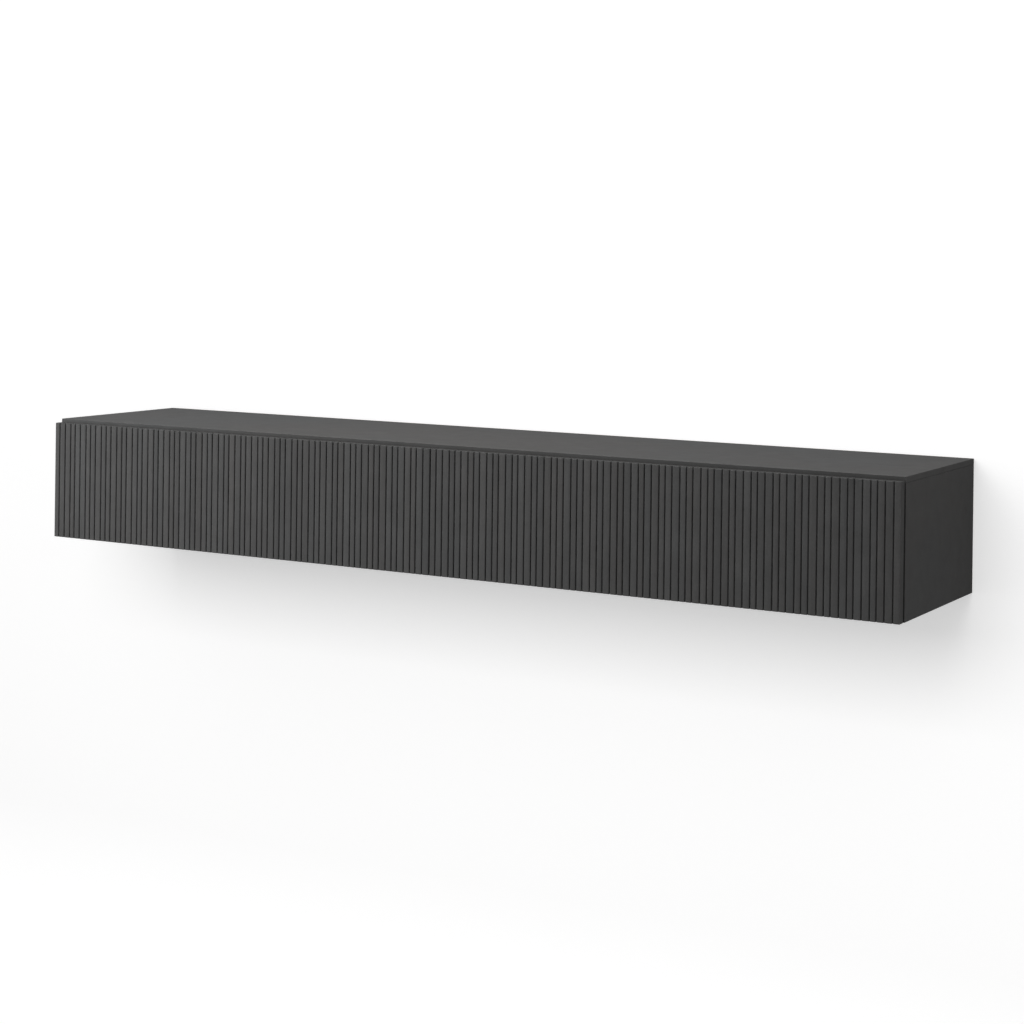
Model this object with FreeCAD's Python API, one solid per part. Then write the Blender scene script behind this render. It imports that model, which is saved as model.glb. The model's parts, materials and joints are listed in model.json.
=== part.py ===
import FreeCAD, Part
import os
from math import cos, sin, pi, radians, hypot

os.makedirs("parts", exist_ok=True)
V = FreeCAD.Vector

# Wall-hung media console with two ribbed drop-down flaps.
# Construction frame: X to the right (0 at mid width), Y = 0 on the wall and
# -Y towards the room, Z = 0 on the underside of the carcass. Every solid is
# written out with the origin moved up to the row of wall fixings (WALL_Z).

# ------------------------------------------------------------ driving sizes
WIDTH = 2000.0            # over the side panels
DEPTH = 397.0             # carcass, wall to front edges
HEIGHT = 265.0            # carcass, underside to top surface
BOARD = 16.0              # side panels, bottom, partition, rails
TOP_T = 12.0              # top panel lies over the sides
EDGE_R = 1.0              # eased outer edges

WALL_Z = 210.0            # height of the wall fixing row: the origin

GAP = 4.0                 # shadow gap between carcass and flaps
FLAP_T = 19.0             # ribbed flap thickness
FLAP_H = 257.0            # flap height, leaves 8 mm of the top edge showing
FLAP_INSET = 2.0          # flap ends stand in from the carcass ends
SEAM = 3.0                # gap between the two flaps, about as wide as a groove

RIBS_LEFT = 67            # ribs on the left flap
RIBS_RIGHT = 68           # ribs on the right flap
RIB_PITCH = 14.8          # mean groove to groove distance
RIB_SWING = 2.0           # narrow and wide ribs differ from it by this much
RIB_CYCLE = 5.0 / 16.0    # narrow-wide rhythm, 5 beats in 16 ribs
RIB_PHASE = -170.0        # degrees
GROOVE_W = 2.6            # groove width at the face
GROOVE_WB = 2.2           # groove width at its floor
GROOVE_D = 4.0            # groove depth
RIB_EASE = 0.7            # eased rib edges

BACK_T = 5.0              # back panel
RECESS = 21.0             # hanging recess behind the back panel
NAILER_H = 80.0           # rear rails that take the hanging load
FRONT_RAIL_D = 70.0       # rails under the front of the top

HINGE_Z = 1.4             # flap axis above the underside
KNUCKLE_R = 1.7
PIN_R = 0.9
PIN_CLEAR = 0.07
LEAF_T = 0.8
LEAF_LEN = 960.0
LEAF_TOP = 15.0
KNUCKLE_LEN = 40.0

FLAP_OPEN = 90.0          # degrees

STAY_A = (14.0, 111.4)    # flap bracket pivot: behind the carcass front, above underside
STAY_OB = (110.0, 62.0)   # hinge axis to housing pivot
CABLE_HOLE_R = 30.0
CABLE_X = 500.0
CABLE_Z = 75.0

FRONT = -DEPTH                      # carcass front plane
AX_Y = FRONT - GAP / 2.0            # flap axis lies in the middle of the gap
FLAP_BACK = FRONT - GAP             # inner face of the flaps
FLAP_FRONT = FLAP_BACK - FLAP_T
HALF = WIDTH / 2.0
IN_X = HALF - BOARD                 # inner face of the side panels
UNDER_TOP = HEIGHT - TOP_T
BACK_Y0 = -(RECESS + BACK_T)        # front face of the back panel
BACK_Y1 = -RECESS                   # rear face of the back panel


# ---------------------------------------------------------------- helpers
def box(x0, x1, y0, y1, z0, z1):
    return Part.makeBox(x1 - x0, y1 - y0, z1 - z0, V(x0, y0, z0))


def cx(x0, x1, y, z, r):
    a, b = min(x0, x1), max(x0, x1)
    return Part.makeCylinder(r, b - a, V(a, y, z), V(1, 0, 0))


def cy(y0, y1, x, z, r):
    a, b = min(y0, y1), max(y0, y1)
    return Part.makeCylinder(r, b - a, V(x, a, z), V(0, 1, 0))


def cz(z0, z1, x, y, r):
    a, b = min(z0, z1), max(z0, z1)
    return Part.makeCylinder(r, b - a, V(x, y, a), V(0, 0, 1))


def cone_y(y0, y1, x, z, r0, r1):
    # radius r0 at y0, r1 at y1, with y1 > y0
    return Part.makeCone(r0, r1, y1 - y0, V(x, y0, z), V(0, 1, 0))


def prism_x(points, x0, x1):
    # polygon in the Y-Z plane, run along X
    w = Part.makePolygon([V(x0, p[0], p[1]) for p in points + [points[0]]])
    return Part.Face(w).extrude(V(x1 - x0, 0, 0))


def prism_z(points, z0, z1):
    w = Part.makePolygon([V(p[0], p[1], z0) for p in points + [points[0]]])
    return Part.Face(w).extrude(V(0, 0, z1 - z0))


def fuse(shapes):
    s = shapes[0]
    if len(shapes) > 1:
        s = s.multiFuse(shapes[1:])
        s = s.removeSplitter()
    return s


def cut(shape, tools):
    if tools:
        shape = shape.cut(tools)
    return shape


def ease(shape, r, test):
    edges = [e for e in shape.Edges if test(e)]
    if not edges:
        return shape
    try:
        out = shape.makeFillet(r, edges)
        if out.isValid() and out.Volume > 0:
            return out
    except Exception:
        pass
    return shape


def along(e, axis):
    a, b = e.Vertexes[0].Point, e.Vertexes[-1].Point
    d = b.sub(a)
    n = d.Length
    if n < 1e-6:
        return False
    return abs(getattr(d, axis)) / n > 0.999


def mid(e):
    return e.CenterOfMass


def bar(p0, p1, r0, r1, w, x0, x1):
    # flat bar in the Y-Z plane from p0 to p1 with round ends
    dy, dz = p1[0] - p0[0], p1[1] - p0[1]
    n = hypot(dy, dz)
    ny, nz = -dz / n * w / 2.0, dy / n * w / 2.0
    pts = [(p0[0] + ny, p0[1] + nz), (p1[0] + ny, p1[1] + nz),
           (p1[0] - ny, p1[1] - nz), (p0[0] - ny, p0[1] - nz)]
    return fuse([prism_x(pts, min(x0, x1), max(x0, x1)),
                 cx(x0, x1, p0[0], p0[1], r0), cx(x0, x1, p1[0], p1[1], r1)])


def mirror(shape):
    return shape.mirror(V(0, 0, 0), V(1, 0, 0))


def save(name, shapes):
    if not isinstance(shapes, (list, tuple)):
        shapes = [shapes]
    solids = []
    for s in shapes:
        solids += s.Solids
    shape = solids[0] if len(solids) == 1 else Part.makeCompound(solids)
    shape = shape.copy()
    shape.translate(V(0, 0, -WALL_Z))
    shape.exportStep("parts/" + name + ".step")


# ------------------------------------------------------- fastener helpers
cams, cam_bolts, cam_covers, dowels = [], [], [], []


def cam_vertical(xc, face, side, y):
    # cam in the inner face of an upright board, bolt up into the top panel.
    # xc: mid thickness of the board, face: x of the drilled face,
    # side: +1 when the face looks towards +X
    zc = UNDER_TOP - 26.0
    x0, x1 = face - side * 12.5, face
    pocket = cx(x0, x1, y, zc, 7.5)
    bore = cz(zc, UNDER_TOP, xc, y, 3.5)
    bolt = fuse([cz(zc - 1.0, zc + 7.6, xc, y, 2.5),
                 cz(zc + 7.6, UNDER_TOP, xc, y, 3.5),
                 cz(UNDER_TOP, UNDER_TOP + 8.0, xc, y, 2.5)])
    cam = cx(x0, face - side * 0.4, y, zc, 7.5).cut(cz(zc - 9, zc + 9, xc, y, 3.2))
    slot = box(min(face - side * 2.4, face), max(face - side * 2.4, face),
               y - 5.0, y + 5.0, zc - 0.8, zc + 0.8)
    cam = cam.cut(slot)
    cams.append(cam)
    cam_bolts.append(bolt)
    cover = fuse([cx(face, face + side * 1.2, y, zc, 8.6)])
    cover = ease(cover, 0.5, lambda e: abs(mid(e).x - (face + side * 1.2)) < 0.01)
    cam_covers.append(cover)
    return [pocket, bore], [cz(UNDER_TOP, UNDER_TOP + 8.0, xc, y, 2.5)]


def cam_bottom(side, y):
    # cam in the underside of the bottom panel, bolt from the side panel
    xc = side * (IN_X - 24.0)
    xe = side * IN_X
    pocket = cz(0, 12.5, xc, y, 7.5)
    zb = BOARD / 2.0
    a = side * (IN_X - 24.0 + 7.6)
    bore = cx(xc, xe, y, zb, 3.5)
    bolt = fuse([cx(xc, a, y, zb, 2.5), cx(a, xe, y, zb, 3.5),
                 cx(xe, xe + side * 10.0, y, zb, 2.5)])
    cam = cz(0.4, 12.5, xc, y, 7.5).cut(cx(xc - 9, xc + 9, y, zb, 3.2))
    cam = cam.cut(box(xc - 5.0, xc + 5.0, y - 0.8, y + 0.8, 0, 2.4))
    cams.append(cam)
    cam_bolts.append(bolt)
    return [pocket, bore], [cx(xe, xe + side * 10.0, y, zb, 2.5)]


def dowel_x(xj, into_a, into_b, y, z, r):
    # dowel across a joint plane at x = xj, from xj-into_a to xj+into_b
    d = cx(xj - into_a, xj + into_b, y, z, r)
    dowels.append(d)
    return d


# ------------------------------------------------------------------ top
top = box(-HALF, HALF, FRONT, 0.0, UNDER_TOP, HEIGHT)
top = ease(top, EDGE_R, lambda e: (abs(mid(e).z - HEIGHT) < 0.01 and abs(mid(e).y) > 1.0)
           or (along(e, "z") and abs(mid(e).y - FRONT) < 0.01))

# ---------------------------------------------------------- side panels
back_groove = 7.0


def side_blank(side):
    x0, x1 = sorted((side * HALF, side * IN_X))
    s = box(x0, x1, FRONT, 0.0, 0.0, UNDER_TOP)
    s = ease(s, EDGE_R, lambda e: abs(mid(e).x - side * HALF) < 0.01 and
             (abs(mid(e).y - FRONT) < 0.01 or (abs(mid(e).z) < 0.01 and abs(mid(e).y) > 1.0)))
    g0, g1 = sorted((side * IN_X, side * (IN_X + back_groove)))
    return s.cut(box(g0, g1, BACK_Y0, BACK_Y1, BOARD - back_groove, UNDER_TOP))


left = side_blank(-1)
right = side_blank(1)

# ---------------------------------------------------------------- bottom
NOTCH_W, NOTCH_D = 80.0, 18.0
bottom = box(-IN_X, IN_X, FRONT, 0.0, 0.0, BOARD)
bottom = bottom.cut([box(-IN_X, IN_X, BACK_Y0, BACK_Y1, BOARD - back_groove, BOARD)]
                    + [box(s * CABLE_X - NOTCH_W / 2, s * CABLE_X + NOTCH_W / 2, -NOTCH_D, 0, 0, BOARD)
                       for s in (-1, 1)])

# ------------------------------------------------------------- partition
PASS = 50.0               # cable pass between the bays, square notch
partition = box(-BOARD / 2, BOARD / 2, FRONT, BACK_Y0, BOARD, UNDER_TOP)
partition = partition.cut(box(-BOARD / 2, BOARD / 2, BACK_Y0 - PASS, BACK_Y0, BOARD, BOARD + PASS))

# ------------------------------------------------------------ back panel
back = box(-IN_X - back_groove, IN_X + back_groove, BACK_Y0, BACK_Y1,
           BOARD - back_groove, UNDER_TOP)
back = back.cut([cy(BACK_Y0, BACK_Y1, s * CABLE_X, CABLE_Z, CABLE_HOLE_R) for s in (-1, 1)])

# ------------------------------------------------- nailers, front rails
nailer = box(BOARD / 2, IN_X, BACK_Y0 - BOARD, BACK_Y0, UNDER_TOP - NAILER_H, UNDER_TOP)
rail_z0 = UNDER_TOP - BOARD
front_rail = box(BOARD / 2, IN_X, FRONT, FRONT + FRONT_RAIL_D, rail_z0, UNDER_TOP)

# ------------------------------------------------- joints of the carcass
YK = (-360.0, -215.0, -75.0)
top_cuts, left_cuts, right_cuts, part_cuts, bottom_cuts = [], [], [], [], []
for y in YK:
    a, b = cam_vertical(-(HALF - BOARD / 2), -IN_X, 1, y)
    left_cuts += a
    top_cuts += b
    a, b = cam_vertical(HALF - BOARD / 2, IN_X, -1, y)
    right_cuts += a
    top_cuts += b
    a, b = cam_vertical(0.0, BOARD / 2, 1, y)
    part_cuts += a
    top_cuts += b
    a, b = cam_bottom(-1, y)
    bottom_cuts += a
    left_cuts += b
    a, b = cam_bottom(1, y)
    bottom_cuts += a
    right_cuts += b

part_screws = []
for y in (-370.0, -200.0, -110.0):
    s = fuse([Part.makeCone(5.0, 2.5, 3.0, V(0, y, 0), V(0, 0, 1)),
              cz(3.0, 50.0, 0, y, 2.5)])
    part_screws.append(s)
    bottom_cuts.append(s)
    part_cuts.append(s)

nail_l_cuts, nail_r_cuts, rail_l_cuts, rail_r_cuts = [], [], [], []
for z in (UNDER_TOP - 60.0, UNDER_TOP - 20.0):
    yd = BACK_Y0 - BOARD / 2
    d = dowel_x(IN_X, 18, 12, yd, z, 4.0)
    right_cuts.append(d)
    nail_r_cuts.append(d)
    d = dowel_x(-IN_X, 12, 18, yd, z, 4.0)
    left_cuts.append(d)
    nail_l_cuts.append(d)
    d = dowel_x(BOARD / 2, 7, 18, yd, z, 4.0)
    part_cuts.append(d)
    nail_r_cuts.append(d)
    d = dowel_x(-BOARD / 2, 18, 7, yd, z, 4.0)
    part_cuts.append(d)
    nail_l_cuts.append(d)
for y in (-382.0, -341.0):
    zd = rail_z0 + BOARD / 2
    d = dowel_x(IN_X, 18, 12, y, zd, 3.0)
    right_cuts.append(d)
    rail_r_cuts.append(d)
    d = dowel_x(-IN_X, 12, 18, y, zd, 3.0)
    left_cuts.append(d)
    rail_l_cuts.append(d)
    d = dowel_x(BOARD / 2, 7, 18, y, zd, 3.0)
    part_cuts.append(d)
    rail_r_cuts.append(d)
    d = dowel_x(-BOARD / 2, 18, 7, y, zd, 3.0)
    part_cuts.append(d)
    rail_l_cuts.append(d)

# --------------------------------------------------------- hanging cleats
# The wall cleat is screwed to the wall; its lip points up and away from the
# wall. The cabinet cleat hooks over it from above.
CL_T = 3.0
lip_top = UNDER_TOP - 6.0
wall_cleat = prism_x([(0, 195), (0, 235), (-CL_T, 235), (-8, 235), (-8, lip_top), (-11, lip_top),
                      (-11, 232), (-CL_T, 232), (-CL_T, 195)], -940, 940)
cab_cleat = prism_x([(BACK_Y1, 200), (BACK_Y1, lip_top + CL_T), (-4.5, lip_top + CL_T), (-4.5, 238),
                     (-7.5, 238), (-7.5, lip_top), (BACK_Y1 + CL_T, lip_top), (BACK_Y1 + CL_T, 200)],
                    -950, 950)
WALL_HOLE_R = 3.5
wall_cleat = wall_cleat.cut([cy(-CL_T - 1, 1, x, WALL_Z, WALL_HOLE_R)
                             for x in (-870.0, -290.0, 290.0, 870.0)])
cleat_screws = []
back_cuts = []
for s in (-1, 1):
    for k in range(7):
        x = s * (80.0 + 140.0 * k)
        scr = fuse([cy(BACK_Y1 + CL_T, BACK_Y1 + CL_T + 2.2, x, 214.0, 4.2),
                    cy(BACK_Y0 - 13.0, BACK_Y1 + CL_T, x, 214.0, 2.0)])
        scr = ease(scr, 1.0, lambda e: abs(mid(e).y - (BACK_Y1 + CL_T + 2.2)) < 0.01)
        cleat_screws.append(scr)
        hole = cy(BACK_Y0 - 13.0, BACK_Y1 + CL_T, x, 214.0, 2.0)
        back_cuts.append(hole)
        (nail_l_cuts if s < 0 else nail_r_cuts).append(hole)
back = cut(back, back_cuts)
cab_cleat = cut(cab_cleat, back_cuts)

# --------------------------------------------------------- cable grommets
grommets = []
for s in (-1, 1):
    x = s * CABLE_X
    g = fuse([cy(BACK_Y0 - 2.0, BACK_Y0, x, CABLE_Z, CABLE_HOLE_R + 4.0),
              cy(BACK_Y0, BACK_Y1 + 0.5, x, CABLE_Z, CABLE_HOLE_R)])
    g = g.cut(cy(BACK_Y0 - 3.0, BACK_Y1 + 2.0, x, CABLE_Z, CABLE_HOLE_R - 3.0))
    g = ease(g, 0.8, lambda e: abs(mid(e).y - (BACK_Y0 - 2.0)) < 0.01 and e.Length > 200.0)
    grommets.append(g)

# ------------------------------------------------------------ push latches
# A push latch is bored into each front rail; its plunger pushes the flap
# ajar. The magnet tip meets a steel catch plate on the flap.
LATCH_X = 500.0
LATCH_Z = rail_z0 + BOARD / 2


def latch(side):
    x = side * LATCH_X
    body = fuse([cy(FRONT, FRONT + 1.0, x, LATCH_Z, 7.0), cy(FRONT + 1.0, FRONT + 50.0, x, LATCH_Z, 5.0)])
    seat = body.copy()
    body = body.cut(cy(FRONT - 1.0, FRONT + 46.0, x, LATCH_Z, 3.08))
    plunger = fuse([cy(FRONT - 0.6, FRONT + 40.0, x, LATCH_Z, 3.0)])
    plunger = ease(plunger, 0.4, lambda e: abs(mid(e).y - (FRONT - 0.6)) < 0.01)
    plate = cy(FLAP_BACK, FLAP_BACK + 0.8, x, LATCH_Z, 8.0)
    plate = plate.cut(Part.makeCone(1.2, 2.4, 0.8, V(x, FLAP_BACK, LATCH_Z), V(0, 1, 0)))
    return body, plunger, plate, seat


# ------------------------------------------------------- continuous hinge
N_SCREW = 8


def hinge(side):
    # leaves, pin and screws of one flap; side +1 right, -1 left
    x0 = SEAM / 2.0 + (HALF - FLAP_INSET - SEAM / 2.0 - LEAF_LEN) / 2.0
    n = int(LEAF_LEN / KNUCKLE_LEN)
    fixed, moving = [], []
    fixed.append(box(x0, x0 + LEAF_LEN, FRONT - LEAF_T, FRONT, HINGE_Z + 2.3, LEAF_TOP))
    moving.append(box(x0, x0 + LEAF_LEN, FLAP_BACK, FLAP_BACK + LEAF_T, HINGE_Z + 2.3, LEAF_TOP))
    for k in range(n):
        a = x0 + k * KNUCKLE_LEN + 0.15
        b = x0 + (k + 1) * KNUCKLE_LEN - 0.15
        barrel = cx(a, b, AX_Y, HINGE_Z, KNUCKLE_R)
        if k % 2 == 0:
            fixed += [barrel, box(a, b, FRONT - LEAF_T, FRONT, HINGE_Z, HINGE_Z + 2.3)]
        else:
            moving += [barrel, box(a, b, FLAP_BACK, FLAP_BACK + LEAF_T, HINGE_Z, HINGE_Z + 2.3)]
    f = fuse(fixed).cut([cx(x0 + k * KNUCKLE_LEN, x0 + (k + 1) * KNUCKLE_LEN, AX_Y, HINGE_Z, PIN_R)
                         for k in range(0, n, 2)])
    m = fuse(moving).cut([cx(x0 + k * KNUCKLE_LEN, x0 + (k + 1) * KNUCKLE_LEN, AX_Y, HINGE_Z, PIN_R + PIN_CLEAR)
                          for k in range(1, n, 2)])
    pin = fuse([cx(x0 - 0.5, x0 + LEAF_LEN + 0.5, AX_Y, HINGE_Z, PIN_R),
                cx(x0 - 0.5, x0 + 0.1, AX_Y, HINGE_Z, 1.4)])
    fs, ms = [], []
    zs = HINGE_Z + 8.0
    for k in range(N_SCREW):
        x = x0 + 40.0 + k * (LEAF_LEN - 80.0) / (N_SCREW - 1)
        fs.append(fuse([cone_y(FRONT - LEAF_T, FRONT + 0.8, x, zs, 2.8, 1.4),
                        cy(FRONT + 0.8, FRONT + 16.0, x, zs, 1.4)]))
        ms.append(fuse([Part.makeCone(1.4, 2.8, 1.6, V(x, FLAP_BACK - 0.8, zs), V(0, 1, 0)),
                        cy(FLAP_BACK - 10.0, FLAP_BACK - 0.8, x, zs, 1.4)]))
    f = f.cut(fs)
    m = m.cut(ms)
    out = [f, m, pin] + [fs, ms]
    if side < 0:
        out = [mirror(f), mirror(m), mirror(pin), [mirror(s) for s in fs], [mirror(s) for s in ms]]
    return out


# ------------------------------------------------------------- flap stays
# Crank and link form a parallelogram with the flap: the lever turns with the
# flap and the link keeps its slope. The housing holds a damper and the stop.
O_ = (AX_Y, HINGE_Z)
A_ = (FRONT + STAY_A[0], STAY_A[1])
B_ = (O_[0] + STAY_OB[0], O_[1] + STAY_OB[1])
C_ = (A_[0] + STAY_OB[0], A_[1] + STAY_OB[1])


def stay(face, d, reach):
    # face: x of the board face that carries the housing, d: +1 or -1, the way
    # from that face into the bay
    def X(s):
        return face + d * s

    def bx(s0, s1, y0, y1, z0, z1):
        a, b = sorted((X(s0), X(s1)))
        return box(a, b, y0, y1, z0, z1)

    hb = bx(0, 13.0, B_[0] - 46, B_[0] + 54, B_[1] - 33, B_[1] + 37)
    hb = ease(hb, 9.0, lambda e: along(e, "x"))
    hb = ease(hb, 1.5, lambda e: abs(mid(e).x - X(13.0)) < 0.01)
    boss = cx(X(13.0), X(14.0), B_[0], B_[1], 12.0)
    stud = cx(X(14.0), X(17.8), B_[0], B_[1], 4.0)
    head = cx(X(17.8), X(18.8), B_[0], B_[1], 6.5)
    housing = fuse([hb, boss, stud, head])
    # recessed damper tube window and adjusting screw
    housing = housing.cut([bx(12.0, 14.5, B_[0] + 16, B_[0] + 46, B_[1] - 26, B_[1] - 14),
                           cx(X(11.0), X(14.5), B_[0] + 36, B_[1] + 22, 5.0)])
    housing = fuse([housing, cx(X(11.0), X(12.4), B_[0] + 36, B_[1] + 22, 3.6).cut(
        bx(11.6, 12.5, B_[0] + 33, B_[0] + 39, B_[1] + 21.5, B_[1] + 22.5))])
    holes, screws = [], []
    for hy, hz in ((-38, -25), (-38, 29), (46, 29), (46, -25)):
        y, z = B_[0] + hy, B_[1] + hz
        if d > 0:
            hd = Part.makeCone(4.0, 2.0, 2.0, V(X(13.0), y, z), V(-1, 0, 0))
        else:
            hd = Part.makeCone(4.0, 2.0, 2.0, V(X(13.0), y, z), V(1, 0, 0))
        screws.append(fuse([hd, cx(X(11.0), X(-reach), y, z, 2.0)]))
    housing = housing.cut(screws)
    lever = bar(B_, C_, 10.0, 9.0, 14.0, X(14.5), X(17.5))
    lever = lever.cut(cx(X(14.0), X(18.0), B_[0], B_[1], 4.08))
    lever = fuse([lever, cx(X(17.5), X(21.3), C_[0], C_[1], 3.0), cx(X(21.3), X(22.5), C_[0], C_[1], 5.0)])
    link = bar(A_, C_, 8.0, 8.0, 12.0, X(18.0), X(21.0))
    link = link.cut([cx(X(17.5), X(21.5), C_[0], C_[1], 3.08), cx(X(17.5), X(21.5), A_[0], A_[1], 3.3)])
    # flap bracket: base plate on the flap, ear with the open pivot stud
    base = bx(21.5, 50.0, FLAP_BACK, FLAP_BACK + 2.0, A_[1] - 16, A_[1] + 16)
    base = ease(base, 3.0, lambda e: along(e, "y") and abs(mid(e).x - X(50.0)) < 0.01)
    ear = fuse([bx(21.5, 23.7, FLAP_BACK, A_[0], A_[1] - 9, A_[1] + 9), cx(X(21.5), X(23.7), A_[0], A_[1], 9.0)])
    web = prism_x([(FLAP_BACK, A_[1] - 16), (FLAP_BACK, A_[1] + 16), (FLAP_BACK + 2, A_[1] + 16),
                   (FLAP_BACK + 9, A_[1] + 9), (FLAP_BACK + 9, A_[1] - 9), (FLAP_BACK + 2, A_[1] - 16)],
                  min(X(21.5), X(23.7)), max(X(21.5), X(23.7)))
    bracket = fuse([base, ear, web, cx(X(17.7), X(21.5), A_[0], A_[1], 3.0)])
    bs = []
    for s, z in ((32.0, A_[1] - 9), (42.0, A_[1] + 9)):
        bs.append(fuse([Part.makeCone(2.0, 3.6, 1.6, V(X(s), FLAP_BACK + 0.4, z), V(0, 1, 0)),
                        cy(FLAP_BACK - 10.5, FLAP_BACK + 0.4, X(s), z, 2.0)]))
    bracket = bracket.cut(bs)
    return housing, screws, lever, link, bracket, bs


# ------------------------------------------------------------- flap panels
def rib_edges(first, count, x0, x1):
    w = [RIB_PITCH + RIB_SWING * cos(2 * pi * RIB_CYCLE * i + radians(RIB_PHASE))
         for i in range(first, first + count)]
    k = (x1 - x0) / sum(w)
    xs, x = [], x0
    for v in w[:-1]:
        x += v * k
        xs.append(x)
    return xs


def flap_panel(x0, x1, first, count):
    e, hw, hb = RIB_EASE, GROOVE_W / 2.0, GROOVE_WB / 2.0
    yf, yb = FLAP_FRONT, FLAP_BACK
    pts = [(x0, yb), (x0, yf + e), (x0 + e, yf)]
    for g in rib_edges(first, count, x0, x1):
        pts += [(g - hw - e, yf), (g - hw, yf + e), (g - hb, yf + GROOVE_D),
                (g + hb, yf + GROOVE_D), (g + hw, yf + e), (g + hw + e, yf)]
    pts += [(x1 - e, yf), (x1, yf + e), (x1, yb)]
    p = prism_z(pts, 0.0, FLAP_H)
    c = 1.0
    wedges = [prism_x([(yf - 1, FLAP_H - c - 1), (yf - 1, FLAP_H + 1), (yf + c + 1, FLAP_H + 1)], x0 - 1, x1 + 1),
              prism_x([(yf - 1, c + 1), (yf - 1, -1), (yf + c + 1, -1)], x0 - 1, x1 + 1),
              prism_x([(yb + 1, FLAP_H - 1.5), (yb + 1, FLAP_H + 1), (yb - 1.5, FLAP_H + 1)], x0 - 1, x1 + 1)]
    return p.cut(wedges)


# -------------------------------------------------------------- assembly
stay_screws, hinge_carcass_screws = [], []
flaps = {}
for name, side in (("left", -1), ("right", 1)):
    if side < 0:
        panel = flap_panel(-(HALF - FLAP_INSET), -SEAM / 2.0, 0, RIBS_LEFT)
    else:
        panel = flap_panel(SEAM / 2.0, HALF - FLAP_INSET, RIBS_LEFT, RIBS_RIGHT)
    f, m, pin, fs, ms = hinge(side)
    bottom_cuts += fs
    hinge_carcass_screws += fs
    flap_screws = list(ms)
    panel_cuts = list(ms)
    for place, face, d in (("outer", side * IN_X, -side), ("inner", side * BOARD / 2.0, side)):
        # the two inner stays sit back to back, so their screws are short
        housing, hs, lever, link, bracket, bs = stay(face, d, 9.0 if place == "outer" else 7.0)
        save("stay_housing_%s_%s" % (name, place), housing)
        save("stay_lever_%s_%s" % (name, place), lever)
        save("stay_link_%s_%s" % (name, place), link)
        save("stay_bracket_%s_%s" % (name, place), bracket)
        stay_screws += hs
        flap_screws += bs
        panel_cuts += bs
        if place == "outer":
            (left_cuts if side < 0 else right_cuts).extend(hs)
        else:
            part_cuts.extend(hs)
    body, plunger, plate, seat = latch(side)
    (rail_l_cuts if side < 0 else rail_r_cuts).append(seat)
    save("push_latch_housing_" + name, body)
    save("push_latch_plunger_" + name, plunger)
    save("latch_catch_plate_" + name, plate)
    pads = []
    for px, pr in ((side * (IN_X + 8.0), 4.0), (side * 6.0, 3.5)):
        pad = cy(FLAP_BACK, FLAP_BACK + 1.5, px, 230.0, pr)
        pad = ease(pad, 0.6, lambda e: abs(mid(e).y - (FLAP_BACK + 1.5)) < 0.01)
        pads.append(pad)
    save("flap_bumpers_" + name, pads)
    save("flap_panel_" + name, cut(panel, panel_cuts))
    save("flap_screws_" + name, flap_screws)
    save("hinge_fixed_leaf_" + name, f)
    save("hinge_flap_leaf_" + name, m)
    save("hinge_pin_" + name, pin)

save("top_panel", cut(top, top_cuts))
save("left_side_panel", cut(left, left_cuts))
save("right_side_panel", cut(right, right_cuts))
save("centre_partition", cut(partition, part_cuts))
save("bottom_panel", cut(bottom, bottom_cuts))
save("back_panel", back)
save("nailer_left", cut(mirror(nailer), nail_l_cuts))
save("nailer_right", cut(nailer, nail_r_cuts))
save("front_rail_left", cut(mirror(front_rail), rail_l_cuts))
save("front_rail_right", cut(front_rail, rail_r_cuts))
save("wall_cleat", wall_cleat)
save("cabinet_cleat", cab_cleat)
save("cleat_screws", cleat_screws)
save("cam_locks", cams)
save("cam_bolts", cam_bolts)
save("cam_covers", cam_covers)
save("wood_dowels", dowels)
save("partition_screws", part_screws)
save("cable_grommets", grommets)
save("hinge_carcass_screws", hinge_carcass_screws)
save("stay_screws", stay_screws)
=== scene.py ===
import json
import math
import random

import bmesh
import bpy
from mathutils import Matrix, Vector

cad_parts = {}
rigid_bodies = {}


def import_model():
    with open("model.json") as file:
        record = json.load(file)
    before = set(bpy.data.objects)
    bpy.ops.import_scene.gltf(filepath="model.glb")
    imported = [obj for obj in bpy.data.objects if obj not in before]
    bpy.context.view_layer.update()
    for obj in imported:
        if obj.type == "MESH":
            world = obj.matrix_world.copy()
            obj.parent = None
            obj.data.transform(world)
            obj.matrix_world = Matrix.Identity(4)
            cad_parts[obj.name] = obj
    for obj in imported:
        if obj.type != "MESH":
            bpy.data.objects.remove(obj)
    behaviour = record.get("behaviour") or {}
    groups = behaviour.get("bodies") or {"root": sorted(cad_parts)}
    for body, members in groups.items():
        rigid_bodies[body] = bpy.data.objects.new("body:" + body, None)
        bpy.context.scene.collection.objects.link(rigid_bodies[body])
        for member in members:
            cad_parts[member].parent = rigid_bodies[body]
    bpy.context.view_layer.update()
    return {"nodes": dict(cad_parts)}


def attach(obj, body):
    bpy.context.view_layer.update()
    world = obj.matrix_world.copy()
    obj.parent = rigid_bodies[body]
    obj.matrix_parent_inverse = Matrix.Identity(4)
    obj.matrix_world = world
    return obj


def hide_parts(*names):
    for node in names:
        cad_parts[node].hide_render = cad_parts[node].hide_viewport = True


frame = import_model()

scene = bpy.context.scene
NODES = frame["nodes"]
MM = 0.001
WALL_Z = 210.0  # the frame's origin lies this far above the carcass underside

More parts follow.
